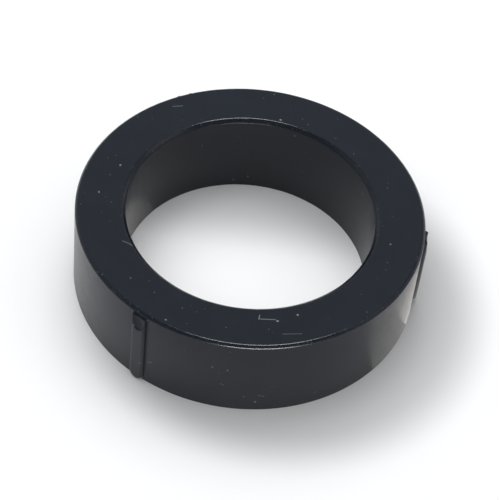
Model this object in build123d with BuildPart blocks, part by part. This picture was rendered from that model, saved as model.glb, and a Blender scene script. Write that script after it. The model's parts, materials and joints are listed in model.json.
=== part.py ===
from build123d import *
import os

# Insulating ring for a round fence post. The post stands in the bore, and the
# ring keeps it clear of the sleeve or cored hole round it. It is one moulding:
# a plain wall with three crush ribs down its outside, which grip the sleeve.
#
# Millimetres. The origin is on the bore's axis at the underside, +Z runs up the
# post, and the first rib stands on +X.

# The post and the air left round it, on the radius.
post_diameter = 50.8
post_clearance = 0.3

# The ring's wall. Its underside has sharp edges, and its top is chamfered.
outer_diameter = 72.0
height = 20.0
outer_chamfer = 0.5
inner_chamfer = 0.8

# The crush ribs. Each runs from the underside up to the outer chamfer. Its top
# end slopes back, so that the ring starts into its sleeve by hand, and its foot
# is eased off.
rib_count = 3
rib_width = 3.3
rib_height = 0.85
rib_edge_radius = 0.6
lead_in_length = 3.6
lead_in_depth = 0.5
foot_length = 0.8
foot_depth = 0.5

# How far a rib is carried into the wall, so that the two are one solid.
rib_root = 1.0

bore_radius = post_diameter / 2 + post_clearance
outer_radius = outer_diameter / 2
rib_tip_radius = outer_radius + rib_height
rib_top = height - outer_chamfer

# One rib, as its side profile drawn out to the rib's width.
with BuildPart() as rib:
    with BuildSketch(Plane.XZ):
        with BuildLine():
            Polyline(
                (outer_radius - rib_root, 0),
                (rib_tip_radius - foot_depth, 0),
                (rib_tip_radius, foot_length),
                (rib_tip_radius, rib_top - lead_in_length),
                (rib_tip_radius - lead_in_depth, rib_top),
                (outer_radius - rib_root, rib_top),
                close=True,
            )
        make_face()
    extrude(amount=rib_width / 2, both=True)
    crest_edges = rib.faces().sort_by(Axis.X)[-1].edges().filter_by(Axis.Z)
    fillet(crest_edges, rib_edge_radius)

# The ring: its wall, its two top chamfers, then the ribs.
with BuildPart() as insulator_ring:
    with BuildSketch():
        Circle(outer_radius)
        Circle(bore_radius, mode=Mode.SUBTRACT)
    extrude(amount=height)
    chamfer(edges().group_by(Axis.Z)[-1].sort_by(SortBy.LENGTH)[-1], outer_chamfer)
    chamfer(edges().group_by(Axis.Z)[-1].sort_by(SortBy.LENGTH)[0], inner_chamfer)
    with PolarLocations(0, rib_count):
        add(rib.part)

insulator_ring.part.label = "insulator_ring"
os.makedirs("parts", exist_ok=True)
export_step(insulator_ring.part, "parts/insulator_ring.step")
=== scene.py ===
import json
import math

import bmesh
import bpy
from bpy.props import FloatProperty, FloatVectorProperty, IntProperty, PointerProperty
from mathutils import Matrix, Vector


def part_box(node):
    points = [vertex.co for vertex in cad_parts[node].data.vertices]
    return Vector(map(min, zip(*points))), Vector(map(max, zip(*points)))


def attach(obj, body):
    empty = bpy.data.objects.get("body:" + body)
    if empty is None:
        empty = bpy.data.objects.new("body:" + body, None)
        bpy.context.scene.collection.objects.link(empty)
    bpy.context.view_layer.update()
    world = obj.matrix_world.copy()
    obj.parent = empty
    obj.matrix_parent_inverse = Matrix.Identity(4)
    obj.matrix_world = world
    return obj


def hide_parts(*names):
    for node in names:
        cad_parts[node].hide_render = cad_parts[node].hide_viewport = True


bl_info = {
    "name": "Fence Post Insulator Ring",
    "version": (1, 0, 0),
    "blender": (4, 5, 0),
    "location": "View3D > Sidebar > Insulator",
    "description": "Models a moulded insulator ring with crush ribs, and lights it on a plain table",
    "category": "Object",
}

MM = 0.001

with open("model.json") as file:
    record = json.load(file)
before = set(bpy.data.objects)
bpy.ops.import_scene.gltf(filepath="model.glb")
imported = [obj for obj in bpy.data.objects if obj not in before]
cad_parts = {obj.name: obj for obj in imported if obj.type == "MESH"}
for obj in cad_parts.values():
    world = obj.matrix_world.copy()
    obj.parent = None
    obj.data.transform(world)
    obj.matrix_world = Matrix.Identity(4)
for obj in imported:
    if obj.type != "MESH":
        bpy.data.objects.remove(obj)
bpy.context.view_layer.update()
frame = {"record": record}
RING_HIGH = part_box("insulator_ring")[1]
POST_BORE = next(m for m in frame["record"]["mounts"] if m["name"] == "post_bore")

# Sizes that the frame fixes. One rib stands on +X, so only Y shows the plain wall's diameter.
WALL_RADIUS = RING_HIGH.y
RING_HEIGHT = RING_HIGH.z
RIB_HEIGHT = RING_HIGH.x - WALL_RADIUS
BORE_RADIUS = POST_BORE["dims"]["r_mm"] * MM
BORE_LENGTH = POST_BORE["dims"]["length_mm"] * MM


# ---------------------------------------------------------------- settings


class RingSizes(bpy.types.PropertyGroup):
    """Sizes of the ring that the frame doesn't fix."""

    outer_chamfer: FloatProperty(
        name="Outer Chamfer",
        description="Width of the chamfer round the top of the outer wall",
        default=0.54 * MM, min=0.0, precision=5, unit="LENGTH", subtype="DISTANCE",
    )
    edge_radius: FloatProperty(
        name="Edge Radius",
        description="Soft round along the edges of the top and of the outer chamfer",
        default=0.48 * MM, min=0.01 * MM, precision=5, unit="LENGTH", subtype="DISTANCE",
    )
    fine_radius: FloatProperty(
        name="Fine Edge Radius",
        description="Small round along the underside and the bore's top edge",
        default=0.15 * MM, min=0.01 * MM, precision=5, unit="LENGTH", subtype="DISTANCE",
    )
    rib_count: IntProperty(
        name="Ribs",
        description="Number of crush ribs, spaced evenly round the wall",
        default=3, min=1, max=12,
    )
    rib_width: FloatProperty(
        name="Rib Width",
        description="Width of a crush rib round the wall",
        default=3.3 * MM, min=0.5 * MM, precision=5, unit="LENGTH", subtype="DISTANCE",
    )
    rib_crest_radius: FloatProperty(
        name="Rib Crest Radius",
        description="Round along both long edges of a rib",
        default=0.7 * MM, min=0.01 * MM, precision=5, unit="LENGTH", subtype="DISTANCE",
    )
    rib_root_radius: FloatProperty(
        name="Rib Root Radius",
        description="Fillet where a rib runs into the wall",
        default=0.10 * MM, min=0.01 * MM, precision=5, unit="LENGTH", subtype="DISTANCE",
    )
    lead_in_length: FloatProperty(
        name="Lead-in Length",
        description="Length of the scooped start at the top of a rib, down its middle",
        default=3.6 * MM, min=0.5 * MM, precision=5, unit="LENGTH", subtype="DISTANCE",
    )
    lead_in_depth: FloatProperty(
        name="Lead-in Depth",
        description="How far the scooped start falls back at the rib's top",
        default=0.5 * MM, min=0.0, precision=5, unit="LENGTH", subtype="DISTANCE",
    )
    lead_in_lip: FloatProperty(
        name="Lead-in Lip",
        description="Small step where the crest drops into the scooped start",
        default=0.10 * MM, min=0.0, precision=5, unit="LENGTH", subtype="DISTANCE",
    )
    foot_length: FloatProperty(
        name="Foot Length",
        description="Height of the rounded foot in a rib's middle",
        default=0.36 * MM, min=0.05 * MM, precision=5, unit="LENGTH", subtype="DISTANCE",
    )
    foot_rise: FloatProperty(
        name="Foot Rise",
        description="How much higher the foot starts along a rib's long edges",
        default=1.0 * MM, min=0.0, precision=5, unit="LENGTH", subtype="DISTANCE",
    )


class RingFinish(bpy.types.PropertyGroup):
    """Colours and surface of the moulded plastic."""

    plastic_colour: FloatVectorProperty(
        name="Plastic",
        description="Colour of the clean moulded plastic",
        default=(0.0032, 0.0062, 0.0112), size=3, min=0.0, max=1.0, subtype="COLOR",
    )
    dust_colour: FloatVectorProperty(
        name="Dust",
        description="Colour of dust specks and lint",
        default=(0.22, 0.225, 0.235), size=3, min=0.0, max=1.0, subtype="COLOR",
    )
    roughness: FloatProperty(
        name="Roughness",
        description="Roughness of the clean plastic",
        default=0.28, min=0.05, max=1.0, subtype="FACTOR",
    )
    shine: FloatProperty(
        name="Shine",
        description="Strength of the plastic's surface reflection",
        default=0.45, min=0.0, max=1.0, subtype="FACTOR",
    )


class StudioSettings(bpy.types.PropertyGroup):
    """Table, lights and camera."""

    # Painted shadow: the table takes this greyer tone round the ring, offset towards the right and
    # front, on top of the shadow that the lights cast.
    table_painted_shadow: FloatVectorProperty(
        name="Table near the Ring",
        description="Colour of the plain table round the ring",
        default=(0.60, 0.60, 0.60), size=3, min=0.0, max=1.0, subtype="COLOR",
    )
    table_far: FloatVectorProperty(
        name="Table",
        description="Colour of the plain table away from the ring",
        default=(0.90, 0.90, 0.90), size=3, min=0.0, max=1.0, subtype="COLOR",
    )
    # Paler tone that lifts the painted shadow in the front of the ring's hole; the back of the hole
    # keeps painted shade.
    table_inside: FloatVectorProperty(
        name="Table inside the Ring",
        description="Colour of the plain table in the front half of the ring's hole",
        default=(0.98, 0.98, 0.98), size=3, min=0.0, max=1.0, subtype="COLOR",
    )
    camera_turn: FloatProperty(
        name="Camera Turn",
        description="How far round from -Y towards +X the camera stands",
        default=math.radians(1.8), subtype="ANGLE",
    )
    camera_elevation: FloatProperty(
        name="Camera Elevation",
        description="Angle of the camera above the table",
        default=math.radians(48.12), subtype="ANGLE",
    )
    camera_roll: FloatProperty(
        name="Camera Roll",
        description="Tilt of the camera about its own axis",
        default=math.radians(6.75), subtype="ANGLE",
    )
    camera_distance: FloatProperty(
        name="Camera Distance",
        description="Distance from the camera to the ring's middle",
        default=0.4022, min=0.1, precision=4, unit="LENGTH", subtype="DISTANCE",
    )
    camera_lens: FloatProperty(
        name="Lens",
        description="Focal length of the camera, in millimetres",
        default=139.05, min=10.0, unit="CAMERA",
    )
    aim_right: FloatProperty(
        name="Aim Right",
        description="How far right of the ring's middle the camera aims",
        default=0.71 * MM, precision=5, unit="LENGTH", subtype="DISTANCE",
    )
    aim_up: FloatProperty(
        name="Aim Up",
        description="How far above the ring's middle the camera aims",
        default=-2.06 * MM, precision=5, unit="LENGTH", subtype="DISTANCE",
    )


# ------------------------------------------------------------- ring outline

# Angle between neighbouring columns of vertices on the plain wall.
PLAIN_COLUMN = math.radians(1.1)
# Length of the scooped start along a rib's long edges, as a share of its length down the middle.
SCOOP_SIDE = 0.2
# Share of the scooped start's length over which its lip drops.
LIP_DROP = 0.035
# Share of a rib's half width that the scooped start's duller finish covers.
SCOOP_FINISH = 0.9
# How steeply a rib's top end falls back to the wall.
END_SLOPE = 3.0


def round_corner(before, corner, after, radius, steps):
    """Points of the arc that rounds one corner of an outline, both ends included."""
    corner = Vector(corner)
    to_before = (Vector(before) - corner).normalized()
    to_after = (Vector(after) - corner).normalized()
    half = to_before.angle(to_after) / 2
    centre = corner + (to_before + to_after).normalized() * (radius / math.sin(half))
    start = corner + to_before * (radius / math.tan(half)) - centre
    end = corner + to_after * (radius / math.tan(half)) - centre
    points = []
    for i in range(steps + 1):
        share = i / steps
        points.append(centre + start.normalized().slerp(end.normalized(), share) * radius)
    return points


def rib_section(sizes):
    """Half section of a rib, from its root out to the middle: (distance round the wall, stand-off)."""
    side = sizes.rib_width / 2
    draft = 0.06 * RIB_HEIGHT
    foot = (side + draft, 0.0)
    edge = (side - draft, RIB_HEIGHT)
    points = round_corner((side + 1.0, 0.0), foot, edge, sizes.rib_root_radius, 4)
    points += round_corner(foot, edge, (0.0, RIB_HEIGHT), sizes.rib_crest_radius, 9)
    flat = points[-1].x
    points += [Vector((flat * share, RIB_HEIGHT)) for share in (0.84, 0.67, 0.5, 0.33, 0.17, 0.0)]
    return points


def ring_columns(sizes):
    """Columns of vertices round the ring: (angle, share of the way across a rib, rib stand-off).

    The share is 0 in a rib's middle, and 1 at its edge and all along the plain wall.
    """
    columns = []
    section = rib_section(sizes)
    edge = section[0].x
    pitch = math.tau / sizes.rib_count
    reach = edge / WALL_RADIUS
    plain_columns = max(12, round((pitch - 2 * reach) / PLAIN_COLUMN))
    for rib in range(sizes.rib_count):
        middle = rib * pitch
        for point in section:
            columns.append((middle - point.x / WALL_RADIUS, point.x / edge, point.y))
        for point in reversed(section[:-1]):
            columns.append((middle + point.x / WALL_RADIUS, point.x / edge, point.y))
        for step in range(1, plain_columns):
            angle = middle + reach + (pitch - 2 * reach) * step / plain_columns
            columns.append((angle, 1.0, 0.0))
    return columns


def wall_point(zone, share, across, crest, low, high, sizes):
    """(stand-off, height) of the outer wall's skin, between its bottom round and its chamfer.

    The rows bow across a rib: its rounded foot starts highest along the long edges, and its scooped
    start reaches lowest down the middle.
    """
    bow = across ** 2
    foot_start = low + sizes.foot_rise * bow
    foot_end = foot_start + sizes.foot_length + sizes.foot_rise * bow
    scoop_side = sizes.lead_in_length * SCOOP_SIDE
    scoop_length = scoop_side + (sizes.lead_in_length - scoop_side) * math.sqrt(1.0 - bow)
    scoop_start = high - scoop_length
    if zone == "foot":
        return crest * math.sqrt(1.0 - (1.0 - share) ** 2), foot_start + (foot_end - foot_start) * share
    if zone == "crest":
        return crest, foot_end + (scoop_start - foot_end) * share
    height = scoop_start + scoop_length * share
    lip = sizes.lead_in_lip * min(1.0, share / LIP_DROP)
    bowl = (sizes.lead_in_depth - sizes.lead_in_lip) * (1.0 - bow) * (1.0 - (1.0 - share) ** 2)
    return min(crest, RIB_HEIGHT - lip - bowl, END_SLOPE * (high - height)), height


def ring_rows(sizes):
    """Rows of vertices along the ring's section: (zone, radius or share, height, edge wear).

    The zone is None where the section is the same all round.
    """
    corners = [
        (BORE_RADIUS, 0.0),
        (WALL_RADIUS, 0.0),
        (WALL_RADIUS, RING_HEIGHT - sizes.outer_chamfer),
        (WALL_RADIUS - sizes.outer_chamfer, RING_HEIGHT),
        (BORE_RADIUS + RING_HEIGHT - BORE_LENGTH, RING_HEIGHT),
        (BORE_RADIUS, BORE_LENGTH),
    ]
    fine, soft = sizes.fine_radius, sizes.edge_radius
    arcs = []
    for i, radius in enumerate((fine, fine, soft, soft, soft, fine)):
        before, after = corners[i - 1], corners[(i + 1) % len(corners)]
        arcs.append(round_corner(before, corners[i], after, radius, 6))

    rows = []

    def arc(points):
        rows.extend((None, p.x, p.y, 1.0) for p in points)

    def between(start, end, shares):
        for share in shares:
            p = start.lerp(end, share)
            rows.append((None, p.x, p.y, 0.0))

    between(arcs[0][-1], arcs[1][0], (0.06, 0.35, 0.65, 0.94))
    arc(arcs[1])
    rows.extend(("foot", share, 0.0, 0.0) for share in (0.0, 0.03, 0.1, 0.22, 0.4, 0.65, 1.0))
    rows.extend(("crest", share, 0.0, 0.0) for share in (0.03, 0.2, 0.4, 0.6, 0.8, 0.97))
    rows.extend(("scoop", share, 0.0, 0.0) for share in (
        0.0, 0.018, LIP_DROP, 0.1, 0.2, 0.32, 0.44, 0.55, 0.65, 0.73, 0.79, 0.84, 0.89, 0.93, 0.97, 1.0,
    ))
    arc(arcs[2])
    arc(arcs[3])
    between(arcs[3][-1], arcs[4][0], (0.03, 0.25, 0.5, 0.75, 0.97))
    arc(arcs[4])
    arc(arcs[5])
    between(arcs[5][-1], arcs[0][0], (0.03, 0.25, 0.5, 0.75, 0.97))
    arc(arcs[0])
    return rows


def build_ring_mesh(sizes):
    """The whole moulding as one closed skin, with its worn edges and scooped starts marked."""
    mesh = bpy.data.meshes.new("moulded_ring")
    bm = bmesh.new()
    wear = bm.verts.layers.float.new("edge_wear")
    scooped = bm.verts.layers.float.new("lead_in")
    columns = ring_columns(sizes)
    low = sizes.fine_radius + 0.01 * MM
    high = RING_HEIGHT - sizes.outer_chamfer - sizes.edge_radius / 2
    grid = []
    for zone, place, row_height, worn in ring_rows(sizes):
        line = []
        for angle, across, crest in columns:
            radius, height = place, row_height
            if zone is not None:
                stand_off, height = wall_point(zone, place, across, crest, low, high, sizes)
                radius = WALL_RADIUS + stand_off
            vertex = bm.verts.new((radius * math.cos(angle), radius * math.sin(angle), height))
            vertex[wear] = worn
            vertex[scooped] = float(zone == "scoop" and place > 0.0 and across < SCOOP_FINISH)
            line.append(vertex)
        grid.append(line)
    for i, line in enumerate(grid):
        above = grid[(i + 1) % len(grid)]
        for j in range(len(line)):
            k = (j + 1) % len(line)
            face = bm.faces.new((line[j], line[k], above[k], above[j]))
            face.smooth = True
    bm.normal_update()
    bm.to_mesh(mesh)
    bm.free()
    return mesh


# ----------------------------------------------------------------- material


class NodeSheet:
    """Adds nodes to one material and links them, so that a finish reads as a list of steps."""

    def __init__(self, name):
        self.material = bpy.data.materials.new(name)
        self.material.use_nodes = True
        self.tree = self.material.node_tree
        self.tree.nodes.clear()

    def node(self, kind, **values):
        made = self.tree.nodes.new(kind)
        for name, value in values.items():
            setattr(made, name, value)
        return made

    def put(self, socket, value):
        """Links value to the socket if it is another node's output, or else sets it."""
        if isinstance(value, bpy.types.NodeSocket):
            self.tree.links.new(value, socket)
        else:
            socket.default_value = value

    def maths(self, operation, *values, clamp=False):
        made = self.node("ShaderNodeMath", operation=operation, use_clamp=clamp)
        for socket, value in zip(made.inputs, values):
            self.put(socket, value)
        return made.outputs["Value"]

    def scaled(self, vector, scale):
        made = self.node("ShaderNodeVectorMath", operation="MULTIPLY")
        self.put(made.inputs[0], vector)
        self.put(made.inputs[1], scale)
        return made.outputs["Vector"]

    def noise(self, vector, scale, detail=2.0, roughness=0.5):
        made = self.node("ShaderNodeTexNoise")
        self.put(made.inputs["Vector"], vector)
        self.put(made.inputs["Scale"], scale)
        self.put(made.inputs["Detail"], detail)
        self.put(made.inputs["Roughness"], roughness)
        return made.outputs["Fac"]

    def steps(self, value, low, high, to_low=0.0, to_high=1.0):
        """Maps value smoothly from low..high to to_low..to_high."""
        made = self.node("ShaderNodeMapRange", interpolation_type="SMOOTHSTEP")
        for name, number in zip(
            ("Value", "From Min", "From Max", "To Min", "To Max"),
            (value, low, high, to_low, to_high),
        ):
            self.put(made.inputs[name], number)
        return made.outputs["Result"]

    def blend(self, share, first, second):
        made = self.node("ShaderNodeMix", data_type="RGBA")
        self.put(made.inputs["Factor"], share)
        self.put(made.inputs[6], first)
        self.put(made.inputs[7], second)
        return made.outputs[2]

    def bump(self, height, strength, distance, below=None):
        made = self.node("ShaderNodeBump")
        made.inputs["Strength"].default_value = strength
        made.inputs["Distance"].default_value = distance
        self.put(made.inputs["Height"], height)
        if below is not None:
            self.put(made.inputs["Normal"], below)
        return made.outputs["Normal"]


def speck_mask(sheet, place, cell, share, low, high):
    """Small round specks: one in each cell of a grid, kept in only a share of the cells."""
    spots = sheet.node("ShaderNodeTexVoronoi", feature="F1", voronoi_dimensions="3D")
    sheet.put(spots.inputs["Vector"], place)
    sheet.put(spots.inputs["Scale"], 1.0 / cell)
    split = sheet.node("ShaderNodeSeparateColor")
    sheet.put(split.inputs["Color"], spots.outputs["Color"])
    kept = sheet.maths("LESS_THAN", split.outputs["Red"], share)
    size = sheet.steps(split.outputs["Green"], 0.0, 1.0, low / cell, high / cell)
    inside = sheet.maths("DIVIDE", spots.outputs["Distance"], size)
    spot = sheet.steps(inside, 1.0, 0.55)
    return sheet.maths("MULTIPLY", spot, kept)


def on_top(azimuth, radius):
    """Point on the top face, in millimetres; azimuth 0 is -Y and 90 is +X, in degrees."""
    turn = math.radians(azimuth)
    return Vector((radius * math.sin(turn), -radius * math.cos(turn), RING_HEIGHT / MM))


def on_wall(azimuth, height, proud=0.0):
    """Point on the outer wall, or standing proud of it on a rib, in millimetres."""
    turn = math.radians(azimuth)
    radius = WALL_RADIUS / MM + proud
    return Vector((radius * math.sin(turn), -radius * math.cos(turn), height))


def stroke(sheet, place, start, end, width):
    """Mask of a thin straight mark between two points, faded out at a distance of width from it."""
    along = end - start
    from_start = sheet.node("ShaderNodeVectorMath", operation="SUBTRACT")
    sheet.put(from_start.inputs[0], place)
    sheet.put(from_start.inputs[1], start)
    progress = sheet.node("ShaderNodeVectorMath", operation="DOT_PRODUCT")
    sheet.put(progress.inputs[0], from_start.outputs["Vector"])
    sheet.put(progress.inputs[1], along / max(along.length_squared, 1e-6))
    share = sheet.maths("ADD", progress.outputs["Value"], 0.0, clamp=True)
    reached = sheet.node("ShaderNodeVectorMath", operation="SCALE")
    sheet.put(reached.inputs[0], along)
    sheet.put(reached.inputs["Scale"], share)
    gap = sheet.node("ShaderNodeVectorMath", operation="DISTANCE")
    sheet.put(gap.inputs[0], from_start.outputs["Vector"])
    sheet.put(gap.inputs[1], reached.outputs["Vector"])
    return sheet.steps(gap.outputs["Value"], width, width * 0.4)


def handling_marks(sheet, place):
    """Lint, crumbs and light scratches that handling has left on the top and the wall."""
    lint = [on_top(10.2, 27.9), on_top(9.6, 28.9), on_top(16.0, 29.2)]
    # Each is a start, an end, a width and a strength.
    strokes = [
        (lint[0], lint[1], 0.14, 0.55),
        (lint[1], lint[2], 0.13, 0.55),
        (on_top(16.6, 29.6), on_top(16.9, 29.6), 0.26, 0.8),
        (on_top(17.4, 32.9), on_top(23.8, 33.5), 0.10, 0.28),
        (on_top(-142.8, 33.3), on_top(-146.2, 32.6), 0.17, 0.3),
        (on_top(25.1, 28.8), on_top(25.2, 28.8), 0.26, 0.8),
        (on_top(173.3, 27.2), on_top(173.5, 27.2), 0.26, 0.9),
        (on_top(-61.2, 27.9), on_top(-59.2, 27.0), 0.13, 0.35),
        (on_top(-59.2, 27.0), on_top(-57.2, 26.5), 0.13, 0.35),
        (on_top(-22.0, 34.5), on_top(-22.1, 34.5), 0.24, 0.6),
        (on_top(-104.2, 29.2), on_top(-104.4, 29.2), 0.26, 0.7),
        (on_top(-87.7, 31.4), on_top(-88.2, 31.4), 0.22, 0.5),
        (on_wall(-28.8, 5.7, 0.83), on_wall(-27.6, 6.0, 0.8), 0.14, 0.4),
        (on_wall(-26.6, 6.3), on_wall(-24.7, 6.9), 0.14, 0.4),
        (on_wall(-1.5, 7.6), on_wall(-0.3, 7.3), 0.13, 0.35),
        (on_wall(10.8, 4.7), on_wall(12.8, 4.4), 0.13, 0.35),
        (on_wall(10.1, 2.6), on_wall(10.2, 2.6), 0.26, 0.7),
        (on_wall(29.5, 2.9), on_wall(30.4, 3.1), 0.16, 0.4),
    ]
    marked = None
    for start, end, width, strength in strokes:
        one = sheet.maths("MULTIPLY", stroke(sheet, place, start, end, width), strength)
        marked = one if marked is None else sheet.maths("MAXIMUM", marked, one)
    return marked


def black_plastic(finish):
    """Black moulded plastic: faint flow clouds, draw marks down the walls, dust, marks and worn edges.

    The gloss falls off towards the top of the wall and in the ribs' scooped starts.
    """
    sheet = NodeSheet("black_moulded_plastic")
    coordinates = sheet.node("ShaderNodeTexCoord")
    place = sheet.scaled(coordinates.outputs["Object"], (1 / MM, 1 / MM, 1 / MM))
    plastic = (*finish.plastic_colour, 1.0)
    dust = (*finish.dust_colour, 1.0)

    split = sheet.node("ShaderNodeSeparateXYZ")
    sheet.put(split.inputs["Vector"], place)
    height = sheet.maths("DIVIDE", split.outputs["Z"], RING_HEIGHT / MM)
    clouds = sheet.noise(place, 0.11, 3.0, 0.55)
    grain = sheet.noise(place, 5.5, 2.0, 0.6)
    draw_marks = sheet.noise(sheet.scaled(place, (1.0, 1.0, 0.05)), 1.3, 3.0, 0.6)
    rubs = sheet.noise(place, 0.45, 4.0, 0.65)

    specks = sheet.maths("MULTIPLY", speck_mask(sheet, place, 3.2, 0.34, 0.12, 0.30), 0.45)
    fine_specks = sheet.maths("MULTIPLY", speck_mask(sheet, place, 1.5, 0.30, 0.09, 0.22), 0.18)
    scattered = sheet.maths("MAXIMUM", specks, fine_specks)
    dusty = sheet.maths("MAXIMUM", scattered, handling_marks(sheet, place))

    wear = sheet.node("ShaderNodeAttribute", attribute_name="edge_wear")
    nicks = sheet.steps(sheet.noise(place, 1.3, 3.0, 0.7), 0.58, 0.72)
    worn = sheet.maths("MULTIPLY", wear.outputs["Fac"], nicks)

    pale = tuple(1.5 * c for c in finish.plastic_colour) + (1.0,)
    cloudy = sheet.blend(sheet.steps(clouds, 0.35, 0.7, 0.0, 0.35), plastic, pale)
    edged = sheet.blend(sheet.maths("MULTIPLY", worn, 0.14), cloudy, dust)
    colour = sheet.blend(dusty, edged, dust)

    top_share = sheet.steps(height, 0.955, 0.985)
    satin = sheet.steps(rubs, 0.3, 0.75, finish.roughness - 0.02, finish.roughness + 0.03)
    streaked = sheet.maths("MULTIPLY_ADD", draw_marks, 0.04, satin)
    polished = sheet.maths("MULTIPLY_ADD", top_share, -0.08, streaked)
    roughness = sheet.maths("MULTIPLY_ADD", dusty, 0.4, polished, clamp=True)

    waves = sheet.bump(clouds, 0.10, 0.04 * MM)
    drawn = sheet.bump(draw_marks, 0.05, 0.02 * MM, waves)
    grained = sheet.bump(grain, 0.06, 0.01 * MM, drawn)
    raised = sheet.bump(dusty, 0.3, 0.03 * MM, grained)

    lead_in = sheet.node("ShaderNodeAttribute", attribute_name="lead_in").outputs["Fac"]
    wall_shine = sheet.steps(height, -0.1, 1.05, finish.shine * 1.2, finish.shine * 0.56)
    lifted = sheet.maths("MULTIPLY_ADD", top_share, finish.shine * 0.2, wall_shine)
    shine = sheet.maths("MULTIPLY", lifted, sheet.maths("MULTIPLY_ADD", lead_in, -0.45, 1.0))

    shader = sheet.node("ShaderNodeBsdfPrincipled")
    shader.inputs["IOR"].default_value = 1.46
    sheet.put(shader.inputs["Specular IOR Level"], shine)
    sheet.put(shader.inputs["Base Color"], colour)
    sheet.put(shader.inputs["Roughness"], roughness)
    sheet.put(shader.inputs["Normal"], raised)
    output = sheet.node("ShaderNodeOutputMaterial")
    sheet.put(output.inputs["Surface"], shader.outputs["BSDF"])
    return sheet.material


def table_top(near, far, within):
    """Pale table with a barely visible tooth and painted shadow: greyer round the ring, offset towards
    the right and front, with painted shade at the back of the ring's hole and palest in front inside it.
    """
    sheet = NodeSheet("pale_table_painted_shadow")
    coordinates = sheet.node("ShaderNodeTexCoord")
    tooth = sheet.noise(coordinates.outputs["Object"], 900.0, 2.0, 0.5)

    # Painted shadow: the table is greyer within about 0.95 to 1.3 wall radii of a point set right of and
    # in front of the ring's middle.
    from_shade = sheet.node("ShaderNodeVectorMath", operation="DISTANCE")
    sheet.put(from_shade.inputs[0], coordinates.outputs["Object"])
    sheet.put(from_shade.inputs[1], (WALL_RADIUS * 0.26, -WALL_RADIUS * 0.15, 0.0))
    away = sheet.steps(from_shade.outputs["Value"], WALL_RADIUS * 0.95, WALL_RADIUS * 1.30)
    # Inside the hole the paler colour lifts the painted shadow, fully in front and only in part at the
    # back, which paints shade there.
    from_middle = sheet.node("ShaderNodeVectorMath", operation="LENGTH")
    sheet.put(from_middle.inputs[0], coordinates.outputs["Object"])
    inside = sheet.steps(from_middle.outputs["Value"], WALL_RADIUS * 0.9, WALL_RADIUS * 0.8)
    split = sheet.node("ShaderNodeSeparateXYZ")
    sheet.put(split.inputs["Vector"], coordinates.outputs["Object"])
    hole_unshaded_share = sheet.steps(split.outputs["Y"], WALL_RADIUS * 0.5, WALL_RADIUS * 0.1, 0.32, 1.0)

    shader = sheet.node("ShaderNodeBsdfPrincipled")
    shader.inputs["Specular IOR Level"].default_value = 0.15
    outside = sheet.blend(away, (*near, 1.0), (*far, 1.0))
    colour = sheet.blend(sheet.maths("MULTIPLY", inside, hole_unshaded_share), outside, (*within, 1.0))
    sheet.put(shader.inputs["Base Color"], colour)
    sheet.put(shader.inputs["Roughness"], sheet.steps(tooth, 0.2, 0.8, 0.7, 0.9))
    output = sheet.node("ShaderNodeOutputMaterial")
    sheet.put(output.inputs["Surface"], shader.outputs["BSDF"])
    return sheet.material


# -------------------------------------------------------------------- stage

LIGHT_DISTANCE = 0.9
CARD_HEIGHT = 0.3 * MM
# Height of the point that the camera turns about, as a share of the ring's height.
TURN_HEIGHT = 0.532
ROOM_HORIZON = (0.80, 0.80, 0.80)
ROOM_HIGH = (0.26, 0.27, 0.29)
COOL = (0.90, 0.96, 1.0)
WARM = (1.0, 0.96, 0.90)


def direction(turn, rise):
    """Unit vector at one angle round from -Y towards +X, and another above the table."""
    return Vector((math.sin(turn) * math.cos(rise), -math.cos(turn) * math.cos(rise), math.sin(rise)))


def add_panel(name, place, away, width, height, watts, colour):
    """A glowing rectangle that shines against the away direction."""
    light = bpy.data.lights.new(name, "AREA")
    light.shape = "RECTANGLE"
    light.size = width
    light.size_y = height
    light.energy = watts
    light.color = colour
    lamp = bpy.data.objects.new(name, light)
    bpy.context.scene.collection.objects.link(lamp)
    lamp.location = place
    lamp.rotation_mode = "QUATERNION"
    lamp.rotation_quaternion = Vector(away).to_track_quat("Z", "Y")
    return lamp


def add_softbox(name, azimuth, elevation, width, height, watts,
                colour=(1.0, 1.0, 1.0), lights=True, mirrored=True):
    """A soft light that faces the ring; azimuth 0 is -Y and 90 is +X, in degrees.

    With mirrored off, it doesn't show in the plastic. With lights off, it shows only there.
    """
    away = direction(math.radians(azimuth), math.radians(elevation))
    lamp = add_panel(name, away * LIGHT_DISTANCE, away, width, height, watts, colour)
    lamp.visible_diffuse = lights
    lamp.visible_glossy = mirrored


def add_card(name, x, y, width, depth, watts):
    """A small warm card lying on the table, in millimetres, that shows only in the plastic."""
    spot = Vector((x * MM, y * MM, CARD_HEIGHT))
    card = add_panel(name, spot, (0, 0, -1), width * MM, depth * MM, watts, WARM)
    card.visible_diffuse = False


def add_room():
    """Soft grey room, brightest along the horizon and cooler overhead."""
    world = bpy.data.worlds.new("soft_room")
    world.use_nodes = True
    tree = world.node_tree
    tree.nodes.clear()
    coordinates = tree.nodes.new("ShaderNodeTexCoord")
    split = tree.nodes.new("ShaderNodeSeparateXYZ")
    ramp = tree.nodes.new("ShaderNodeValToRGB")
    background = tree.nodes.new("ShaderNodeBackground")
    output = tree.nodes.new("ShaderNodeOutputWorld")
    stops = ramp.color_ramp.elements
    stops[0].position, stops[0].color = 0.1, (*ROOM_HORIZON, 1.0)
    stops[1].position, stops[1].color = 0.65, (*ROOM_HIGH, 1.0)
    tree.links.new(coordinates.outputs["Generated"], split.inputs["Vector"])
    tree.links.new(split.outputs["Z"], ramp.inputs["Fac"])
    tree.links.new(ramp.outputs["Color"], background.inputs["Color"])
    tree.links.new(background.outputs["Background"], output.inputs["Surface"])
    bpy.context.scene.world = world


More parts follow.
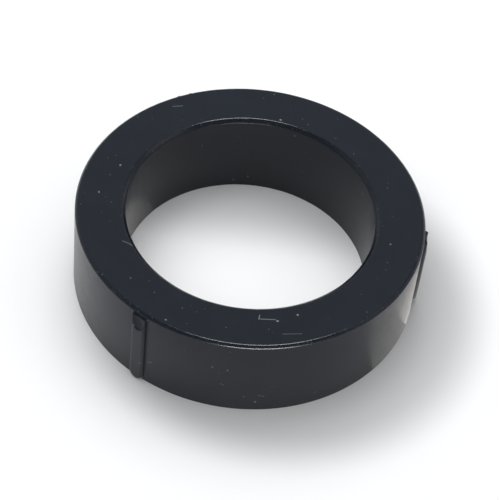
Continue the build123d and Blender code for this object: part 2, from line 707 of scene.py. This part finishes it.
def add_camera(studio):
    """Camera at a set turn, elevation and roll about the ring's middle."""
    camera = bpy.data.cameras.new("camera")
    camera.sensor_width = 36.0
    camera.lens = studio.camera_lens
    camera.clip_start, camera.clip_end = 0.01, 20.0
    turn = studio.camera_turn
    back = direction(turn, studio.camera_elevation)
    right = Vector((math.cos(turn), math.sin(turn), 0.0))
    up = back.cross(right)
    middle = Vector((0.0, 0.0, RING_HEIGHT * TURN_HEIGHT))
    spot = middle + back * studio.camera_distance
    aim = middle + right * studio.aim_right + up * studio.aim_up
    depth = (spot - aim).normalized()
    side = up.cross(depth).normalized()
    head = depth.cross(side)
    roll = studio.camera_roll
    across = side * math.cos(roll) + head * math.sin(roll)
    upward = head * math.cos(roll) - side * math.sin(roll)
    rig = bpy.data.objects.new("camera", camera)
    bpy.context.scene.collection.objects.link(rig)
    turned = Matrix((across, upward, depth)).transposed().to_4x4()
    rig.matrix_world = Matrix.Translation(spot) @ turned
    bpy.context.scene.camera = rig


# ---------------------------------------------------------------- operators


class RING_OT_build(bpy.types.Operator):
    """Model the insulator ring in place of its plain frame part."""

    bl_idname = "insulator.build_ring"
    bl_label = "Insulator Ring"
    bl_options = {"REGISTER", "UNDO"}

    def execute(self, context):
        scene = context.scene
        mesh = build_ring_mesh(scene.insulator_sizes)
        if not mesh.polygons:
            raise RuntimeError("the ring has no faces")
        ring = bpy.data.objects.new("moulded_ring", mesh)
        scene.collection.objects.link(ring)
        mesh.materials.append(black_plastic(scene.insulator_finish))
        shading = ring.modifiers.new("flat faces stay flat", "WEIGHTED_NORMAL")
        shading.weight = 60
        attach(ring, "root")
        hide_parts("insulator_ring")
        return {"FINISHED"}


class STAGE_OT_build(bpy.types.Operator):
    """Set up the pale table, the soft lights and the camera."""

    bl_idname = "insulator.build_stage"
    bl_label = "Table, Lights and Camera"
    bl_options = {"REGISTER", "UNDO"}

    def execute(self, context):
        scene = context.scene
        studio = scene.insulator_studio
        mesh = bpy.data.meshes.new("table")
        half = 3.0
        corners = [(-half, -half, 0), (half, -half, 0), (half, half, 0), (-half, half, 0)]
        mesh.from_pydata(corners, [], [(0, 1, 2, 3)])
        mesh.materials.append(table_top(studio.table_painted_shadow, studio.table_far, studio.table_inside))
        table = bpy.data.objects.new("table", mesh)
        scene.collection.objects.link(table)

        add_room()
        add_softbox("top key", 205, 63, 0.75, 0.75, 3.9, mirrored=False)
        add_softbox("top fill", 150, 60, 0.75, 0.75, 1.3, mirrored=False)
        add_softbox("front key", 320, 65, 0.75, 0.75, 2.7, mirrored=False)
        add_softbox("back box", 180, 45, 0.6, 0.6, 0.45, COOL)
        add_softbox("left back box", 225, 40, 0.5, 0.5, 0.3, COOL)
        add_softbox("left box", 270, 40, 0.5, 0.5, 0.2)
        add_softbox("right box", 90, 40, 0.5, 0.5, 0.6, WARM)
        # These show only in the plastic, as thin bright lines along its rounded edges.
        add_softbox("edge lamp", 90, 84, 0.22, 0.45, 9.0, lights=False)
        add_softbox("edge strip", 15, 5, 0.60, 0.14, 21.0, lights=False)
        add_card("warm card", 38, -1, 8, 14, 0.0003)
        add_card("large warm card", 41, -6, 24, 30, 0.0008)
        add_card("left bore card", -22, 2, 12, 24, 0.0002)
        scene.view_settings.view_transform = "Standard"
        add_camera(studio)
        return {"FINISHED"}


class RING_PT_panel(bpy.types.Panel):
    """The ring's sizes, finish and stage."""

    bl_label = "Insulator Ring"
    bl_space_type = "VIEW_3D"
    bl_region_type = "UI"
    bl_category = "Insulator"

    def draw(self, context):
        for operator, settings in (
            (RING_OT_build, context.scene.insulator_sizes),
            (None, context.scene.insulator_finish),
            (STAGE_OT_build, context.scene.insulator_studio),
        ):
            box = self.layout.box()
            if operator is not None:
                box.operator(operator.bl_idname)
            for name in settings.__annotations__:
                box.prop(settings, name)


CLASSES = (RingSizes, RingFinish, StudioSettings, RING_OT_build, STAGE_OT_build, RING_PT_panel)


def register():
    for cls in CLASSES:
        bpy.utils.register_class(cls)
    bpy.types.Scene.insulator_sizes = PointerProperty(type=RingSizes)
    bpy.types.Scene.insulator_finish = PointerProperty(type=RingFinish)
    bpy.types.Scene.insulator_studio = PointerProperty(type=StudioSettings)


def unregister():
    del bpy.types.Scene.insulator_studio
    del bpy.types.Scene.insulator_finish
    del bpy.types.Scene.insulator_sizes
    for cls in reversed(CLASSES):
        bpy.utils.unregister_class(cls)


def main():
    register()
    bpy.ops.insulator.build_ring()
    bpy.ops.insulator.build_stage()
    bpy.context.view_layer.update()


if __name__ == "__main__":
    main()
